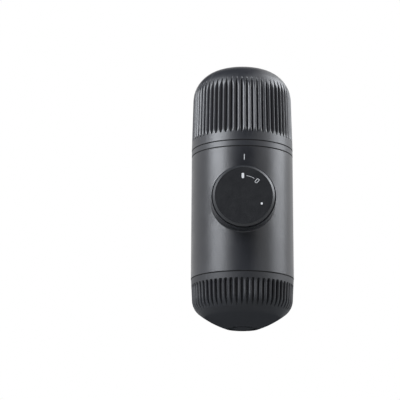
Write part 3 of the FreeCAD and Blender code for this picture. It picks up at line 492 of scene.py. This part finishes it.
def cupArcs(rim, high, inset):
    # the belly's circle passes through the foot's edge and touches the shoulder's circle
    draft = math.radians(cupLook["draftDeg"])
    shoulderZ = cupLook["shoulderHeight"]
    wallRadius = rim - (high - shoulderZ) * math.tan(draft)
    centre = np.array([wallRadius - cupLook["shoulderRadius"] / math.cos(draft), shoulderZ])
    foot = np.array([cupLook["footRadius"], 0.0])
    away = cupLook["bellyRadius"] - cupLook["shoulderRadius"]
    span = np.linalg.norm(centre - foot)
    along = (span ** 2 + cupLook["bellyRadius"] ** 2 - away ** 2) / (2 * span)
    aside = math.sqrt(cupLook["bellyRadius"] ** 2 - along ** 2)
    unit = (centre - foot) / span
    belly = foot + along * unit + aside * np.array([-unit[1], unit[0]])
    meet = math.atan2(centre[1] - belly[1], centre[0] - belly[0])
    return (centre, cupLook["shoulderRadius"] - inset, belly, cupLook["bellyRadius"] - inset, meet, -draft)


def makeCup():
    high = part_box("cup")[1]
    top, rim = high.z / mm, high.x / mm
    edge = cupLook["edge"]
    slope = math.tan(math.radians(cupLook["draftDeg"]))
    shoulderZ = cupLook["shoulderHeight"]
    centre, shoulder, belly, bellyRadius, meet, shoulderEnd = cupArcs(rim, top, 0.0)
    footAngle = math.asin(-belly[1] / bellyRadius)
    bandBase = top - cupLook["plainBand"]
    runout = cupLook["runout"]
    heights = np.concatenate([[top - edge, top - cupLook["midBand"]],
                              bandBase - runout * np.linspace(0, 1, cupSteps["runout"]) ** 2,
                              np.linspace(bandBase - runout, shoulderZ + cupLook["overShoulder"],
                                          cupSteps["wall"])[1:]])
    wallLine = np.stack([rim - (top - heights) * slope, heights], axis=-1)
    shoulderArc = arcPoints(centre, shoulder, shoulderEnd, meet, cupSteps["shoulder"])
    bellyArc = arcPoints(belly, bellyRadius, meet, footAngle, cupSteps["belly"])[1:]
    outline = np.vstack([[[rim - edge, top]], wallLine, shoulderArc, bellyArc])
    z = outline[:, 1]
    # ribs stand parallel to the wall, then on an arc whose groove floor leaves the shoulder at grooveEnd
    drop = shoulderZ - cupLook["grooveEnd"]
    endRadius = centre[0] + math.sqrt(shoulder ** 2 - drop ** 2)
    floorTop = rim - (top - shoulderZ) * slope - ribs["depth"]
    inset = floorTop - endRadius
    arc = (inset ** 2 + drop ** 2) / (2 * inset)
    below = np.clip(shoulderZ - z, 0, arc)
    curved = floorTop - arc + np.sqrt(arc ** 2 - below ** 2) + ribs["depth"]
    wallRadius = np.where(z < shoulderZ, curved, rim - (top - z) * slope)
    wallRadius = np.where(z > top - edge, outline[:, 0], wallRadius)
    depth = runoutDepth(bandBase - z, runout)
    blend = cupLook["beltBlend"] * np.clip((shoulderZ - z) / cupLook["blendOver"], 0, 1)
    # below the grooves the wall is moved outside the outline, so that the outline alone is left there
    bare = z < cupLook["grooveEnd"] - cupLook["bareBelow"]
    wallRadius[bare] += cupLook["bareMove"]
    blend[bare] = 0
    outer = turnedRings(ribbedRadius(outline[:, 0], wallRadius, depth, blend, cupLook["flankWidth"]),
                        z, ribAngles)
    # foot: rim, annular groove and a flat disc
    rimIn = cupLook["footRadius"] - cupLook["footRim"]
    grooveIn = rimIn - cupLook["footGroove"]
    lift = cupLook["footGrooveDepth"]
    footSteps = np.array([(rimIn, 0.0), (rimIn, lift), (grooveIn, lift), (grooveIn, 0.0),
                          (cupLook["footPole"], 0.0)])
    foot = turnedRings(footSteps[:, :1], footSteps[:, 1], ribAngles)
    # inside: bore over the outlet head, shoulder and belly inset by the wall, flat floor
    centre, shoulder, belly, bellyRadius, meet, shoulderEnd = cupArcs(rim, top, cupLook["wall"])
    floorAngle = math.asin((cupLook["floor"] - belly[1]) / bellyRadius)
    inline = np.vstack([[(cupLook["footPole"], cupLook["floor"])],
                        arcPoints(belly, bellyRadius, floorAngle, meet, cupSteps["innerBelly"]),
                        arcPoints(centre, shoulder, meet, shoulderEnd, cupSteps["innerShoulder"])[1:],
                        [(cupLook["bore"], shoulderZ), (cupLook["bore"], top)]])
    inner = turnedRings(inline[:, :1], inline[:, 1], ribAngles)
    tips = ((0, 0, cupLook["floor"]), (0, 0, 0))
    shell = skinOfRings(np.vstack([inner, outer, foot]), tips)
    return makePiece("ribbed_cup", [shell], materials["satinCup"], "cup", standsFor=["cup"])


cupPiece = makeCup()
print("cup:", len(cupPiece.data.polygons), "faces")


# return spring: a helix that runs between the frame and the knob's sleeve

springLook = {"turns": 6.0, "radius": 13.1, "wire": 0.65, "stepsPerTurn": 40, "sides": 10}


def makeSpring():
    low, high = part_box("return_spring")
    axisHeight = (low.z + high.z) / 2 / mm
    start, end = -high.y / mm + springLook["wire"], -low.y / mm - springLook["wire"]
    count = int(springLook["turns"] * springLook["stepsPerTurn"])
    turn = np.linspace(0, 2 * math.pi * springLook["turns"], count)
    out = np.stack([np.cos(turn), np.zeros_like(turn), np.sin(turn)], axis=-1)
    along = start + (end - start) * turn / turn[-1]
    line = out * springLook["radius"] + np.stack([0 * turn, -along, 0 * turn + axisHeight], axis=-1)
    side = np.arange(springLook["sides"]) * 2 * math.pi / springLook["sides"]
    ringOut = out[:, None, :] * np.cos(side)[None, :, None]
    ringAlong = np.array([0.0, -1.0, 0.0])[None, None, :] * np.sin(side)[None, :, None]
    rings = line[:, None, :] + springLook["wire"] * (ringOut + ringAlong)
    piece = makePiece("return_coil", [skinOfRings(rings)], materials["springWire"], None,
                      sharpDeg=60.0, standsFor=["return_spring"])
    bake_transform(piece)


makeSpring()
print("spring done")


# printed marks: thin ink on the shell and on the knob's face

inkThickness = 0.03
shellTaper = 0.2  # the shell's top radius is this much smaller than its bottom radius


def printedPatch(outlineU, outlineV, place):
    # rings from the ink's underside over its edge to the middle of its top; place maps (u, v, h) to a point
    rings = []
    for share, h in ((0.5, 0.0), (1.0, 0.0), (1.0, inkThickness), (0.5, inkThickness)):
        rings.append(place(outlineU.mean() + (outlineU - outlineU.mean()) * share,
                           outlineV.mean() + (outlineV - outlineV.mean()) * share, h))
    return skinOfRings(np.stack(rings))


def roundedBox(width, height, corner, count=8):
    # four quarter circles, one at each corner, joined by straight sides
    quarter = np.linspace(0, math.pi / 2, count)
    u, v = [], []
    for k, (su, sv) in enumerate(((1, 1), (-1, 1), (-1, -1), (1, -1))):
        u.append(su * (width / 2 - corner) + corner * np.cos(quarter + k * math.pi / 2))
        v.append(sv * (height / 2 - corner) + corner * np.sin(quarter + k * math.pi / 2))
    return np.concatenate(u), np.concatenate(v)


def onShell(u, v, h):
    # u runs round the shell from the front, v is the height
    radius = shellRadiusAt(v) + h
    turn = u / radius
    return np.stack([radius * np.sin(turn), -radius * np.cos(turn), v + 0 * u], axis=-1)


def shellRadiusAt(height):
    low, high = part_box("body_shell")
    base, top = low.z / mm, high.z / mm
    wide = high.x / mm
    return wide - shellTaper * (height - base) / (top - base)


def onFace(u, v, h):
    # u to the right and v up from the knob's axis, on the face disc
    low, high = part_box("knob_face")
    return np.stack([u, low.y / mm - h + 0 * u, (low.z + high.z) / 2 / mm + v], axis=-1)


def clockPlace(radius, clockDeg):
    angle = math.radians(clockDeg)
    return radius * math.sin(angle), radius * math.cos(angle)


marks = {
    "tick": {"u": 0.55, "v": 94.9, "width": 0.42, "height": 3.5, "corner": 0.3},
    "bar": {"radius": 11.5, "clockDeg": -2.6, "width": 1.4, "height": 3.0, "corner": 0.5},
    "arc": {"radius": 11.5, "fromDeg": 7.5, "toDeg": 31.5, "width": 0.17, "steps": 25},
    "frame": {"radius": 11.3, "clockDeg": 41.6, "width": 1.65, "height": 2.75, "stroke": 0.27,
              "corner": 0.5, "innerCorner": 0.2},
    "dot": {"radius": 11.1, "clockDeg": 115.0, "diameter": 1.25, "sides": 24},
}


def makeMarks():
    tick = marks["tick"]
    u, v = roundedBox(tick["width"], tick["height"], tick["corner"])
    makePiece("shell_tick", [printedPatch(u + tick["u"], v + tick["v"], onShell)], materials["whiteInk"],
              "body")
    bar = marks["bar"]
    u, v = roundedBox(bar["width"], bar["height"], bar["corner"])
    centreU, centreV = clockPlace(bar["radius"], bar["clockDeg"])
    shells = [printedPatch(u + centreU, v + centreV, onFace)]
    arc = marks["arc"]
    angle = np.radians(np.linspace(arc["fromDeg"], arc["toDeg"], arc["steps"]))
    corners = []
    for side, h in ((-0.5, 0.0), (-0.5, inkThickness), (0.5, inkThickness), (0.5, 0.0)):
        radius = arc["radius"] + side * arc["width"]
        corners.append(onFace(radius * np.sin(angle), radius * np.cos(angle), h))
    shells.append(skinOfRings(np.stack(corners, axis=1)))
    box = marks["frame"]
    centreU, centreV = clockPlace(box["radius"], box["clockDeg"])
    tilt = -math.radians(box["clockDeg"])
    loops = []
    for grow, h in ((-1, 0.0), (-1, inkThickness), (0, inkThickness), (0, 0.0)):
        corner = box["corner"] + grow * (box["corner"] - box["innerCorner"])
        u, v = roundedBox(box["width"] + 2 * grow * box["stroke"], box["height"] + 2 * grow * box["stroke"],
                          corner)
        loops.append(onFace(centreU + u * math.cos(tilt) - v * math.sin(tilt),
                            centreV + u * math.sin(tilt) + v * math.cos(tilt), h))
    shells.append(skinOfRings(np.stack(loops), loop=True))
    dot = marks["dot"]
    centreU, centreV = clockPlace(dot["radius"], dot["clockDeg"])
    turn = np.linspace(0, 2 * math.pi, dot["sides"], endpoint=False)
    shells.append(printedPatch(centreU + dot["diameter"] / 2 * np.cos(turn),
                               centreV + dot["diameter"] / 2 * np.sin(turn), onFace))
    makePiece("knob_marks", shells, materials["whiteInk"], "knob")


makeMarks()
print("marks done")


# studio: a pale floor that fades out, soft boxes round the object, black cards and a white surround

studio = {
    "floorHex": "#b0b0ae", "floorSize": 2.8, "fadeFrom": 0.35, "floorHeight": -0.034,
    "softboxHex": "#f5f9ff", "aimHeight": 0.08,
    "softboxes": {
        "left": {"azimuthDeg": -58.5, "distance": 1.3, "height": 0.86, "width": 0.92, "tall": 1.0,
                 "radiance": 15.6},
        "right": {"azimuthDeg": 90.0, "distance": 1.3, "height": 0.82, "width": 0.95, "tall": 1.0,
                  "radiance": 8.0},
        "rear": {"azimuthDeg": 122.0, "distance": 1.1, "height": 0.85, "width": 0.7, "tall": 0.5,
                 "radiance": 4.6},
        "top": {"azimuthDeg": 112.0, "distance": 0.75, "height": 1.1, "width": 0.4, "tall": 0.35,
                "radiance": 3.5},
        "high": {"azimuthDeg": 30.0, "distance": 0.7, "height": 1.25, "width": 0.25, "tall": 0.25,
                 "radiance": 10.5},
    },
    "cards": {
        "front": {"centre": (0.05, -1.6, 1.0), "across": (0.8, 0.03, 0.0), "up": (0.0, 0.0, 1.3)},
        "ceiling": {"centre": (-0.45, 0.2, 1.9), "across": (1.05, 0.0, 0.0), "up": (0.0, 1.3, 0.0)},
        "back": {"centre": (-0.9, 1.2, 1.4), "across": (0.52, 0.36, 0.0), "up": (0.25, -0.35, 0.45)},
    },
    "cardHex": "#050505",
    "ambient": 0.3,
}


def studioSpot(azimuthDeg, distance, height):
    angle = math.radians(azimuthDeg)
    return (distance * math.sin(angle), -distance * math.cos(angle), height)


def makeSoftbox(name, look):
    # a panel of area A and radiance L gives off pi A L watts
    data = bpy.data.lights.new(name, "AREA")
    data.shape = "RECTANGLE"
    data.color = toLinear(studio["softboxHex"])[:3]
    data.size, data.size_y = look["width"], look["tall"]
    data.energy = math.pi * look["width"] * look["tall"] * look["radiance"]
    lamp = bpy.data.objects.new(name, data)
    lamp.location = studioSpot(look["azimuthDeg"], look["distance"], look["height"])
    middle = Vector((0.0, 0.0, studio["aimHeight"]))
    lamp.rotation_euler = (middle - lamp.location).to_track_quat("-Z", "Y").to_euler()
    bpy.context.scene.collection.objects.link(lamp)


def makeSheet(name, corners, material, shown):
    mesh = bpy.data.meshes.new(name)
    mesh.from_pydata([tuple(corner) for corner in corners], [], [(0, 1, 2, 3)])
    mesh.materials.append(material)
    sheet = bpy.data.objects.new(name, mesh)
    sheet.visible_camera = shown
    bpy.context.scene.collection.objects.link(sheet)


def makeFloor():
    # pale painted board that fades into the white surround, and is seen from above only, so that a low
    # camera looks through its underside
    half, low = studio["floorSize"] / 2, studio["floorHeight"]
    material, tree = newMaterial("paleFloor")
    below = addNode(tree, "ShaderNodeNewGeometry").outputs["Backfacing"]
    spot = addNode(tree, "ShaderNodeTexCoord").outputs["Object"]
    reach = addNode(tree, "ShaderNodeVectorMath", {"operation": "LENGTH"}, {0: spot})
    fade = addNode(tree, "ShaderNodeMapRange", {"interpolation_type": "SMOOTHSTEP",
                                                "From Min": studio["fadeFrom"], "From Max": half},
                   {"Value": reach.outputs["Value"]})
    gone = addNode(tree, "ShaderNodeMath", {"operation": "MAXIMUM"}, {0: below, 1: fade.outputs[0]})
    paint = addNode(tree, "ShaderNodeBsdfDiffuse", {"Color": toLinear(studio["floorHex"])})
    clear = addNode(tree, "ShaderNodeBsdfTransparent")
    skin = addNode(tree, "ShaderNodeMixShader", None,
                   {0: gone.outputs[0], 1: paint.outputs[0], 2: clear.outputs[0]})
    addNode(tree, "ShaderNodeOutputMaterial", None, {"Surface": skin.outputs[0]})
    corners = [(-half, -half, low), (half, -half, low), (half, half, low), (-half, half, low)]
    makeSheet("floor", corners, material, True)


def makeCards():
    # black felt cards keep the white surround out of the reflections on the front and on the dome
    material, tree = newMaterial("blackFelt")
    felt = addNode(tree, "ShaderNodeBsdfDiffuse", {"Color": toLinear(studio["cardHex"])})
    addNode(tree, "ShaderNodeOutputMaterial", None, {"Surface": felt.outputs[0]})
    for name, card in studio["cards"].items():
        centre, across, up = (Vector(card[key]) for key in ("centre", "across", "up"))
        corners = [centre - across - up, centre + across - up, centre + across + up, centre - across + up]
        makeSheet(name + "Card", corners, material, False)


def makeWorld():
    # white to the camera and in reflections, dimmer as fill light
    world = bpy.data.worlds.new("studioWorld")
    world.use_nodes = True
    tree = world.node_tree
    tree.nodes.clear()
    path = addNode(tree, "ShaderNodeLightPath")
    seen = addNode(tree, "ShaderNodeMath", {"operation": "MAXIMUM"},
                   {0: path.outputs["Is Camera Ray"], 1: path.outputs["Is Glossy Ray"]})
    seen = addNode(tree, "ShaderNodeMath", {"operation": "MAXIMUM"},
                   {0: seen.outputs[0], 1: path.outputs["Is Transmission Ray"]})
    strength = addNode(tree, "ShaderNodeMapRange", {"To Min": studio["ambient"], "To Max": 1.0},
                       {"Value": seen.outputs[0]})
    sky = addNode(tree, "ShaderNodeBackground", {"Color": (1, 1, 1, 1)}, {"Strength": strength.outputs[0]})
    addNode(tree, "ShaderNodeOutputWorld", None, {"Surface": sky.outputs[0]})
    bpy.context.scene.world = world


camera = {"distance": 1.0, "azimuthDeg": -1.3, "elevationDeg": -13.2, "targetHeight": 0.078,
          "focalPixels": 1698.6, "imagePixels": 400, "sensorMm": 36.0, "targetPixel": (242.2, 197.3),
          "rollDeg": 0.25}


def makeCamera():
    # the object stands to the right of the picture's middle, so the camera turns aside to the left
    azimuth, elevation = math.radians(camera["azimuthDeg"]), math.radians(camera["elevationDeg"])
    data = bpy.data.cameras.new("camera")
    data.sensor_width = camera["sensorMm"]
    data.lens = camera["sensorMm"] * camera["focalPixels"] / camera["imagePixels"]
    eye = bpy.data.objects.new("camera", data)
    flat = camera["distance"] * math.cos(elevation)
    eye.location = (flat * math.sin(azimuth), -flat * math.cos(azimuth),
                    camera["targetHeight"] + camera["distance"] * math.sin(elevation))
    asideX = camera["targetPixel"][0] - camera["imagePixels"] / 2
    asideY = camera["imagePixels"] / 2 - camera["targetPixel"][1]
    turn = math.atan(asideX / camera["focalPixels"]) / math.cos(elevation)
    tilt = math.atan(asideY / camera["focalPixels"])
    look = Euler((math.pi / 2 - elevation - tilt, 0.0, azimuth + turn)).to_matrix()
    eye.rotation_euler = (look @ Matrix.Rotation(math.radians(camera["rollDeg"]), 3, "Z")).to_euler()
    bpy.context.scene.collection.objects.link(eye)
    bpy.context.scene.camera = eye


for name, look in studio["softboxes"].items():
    makeSoftbox(name + "Softbox", look)
makeFloor()
makeCards()
makeWorld()
makeCamera()
bpy.context.scene.view_settings.view_transform = "Standard"
print("studio done")
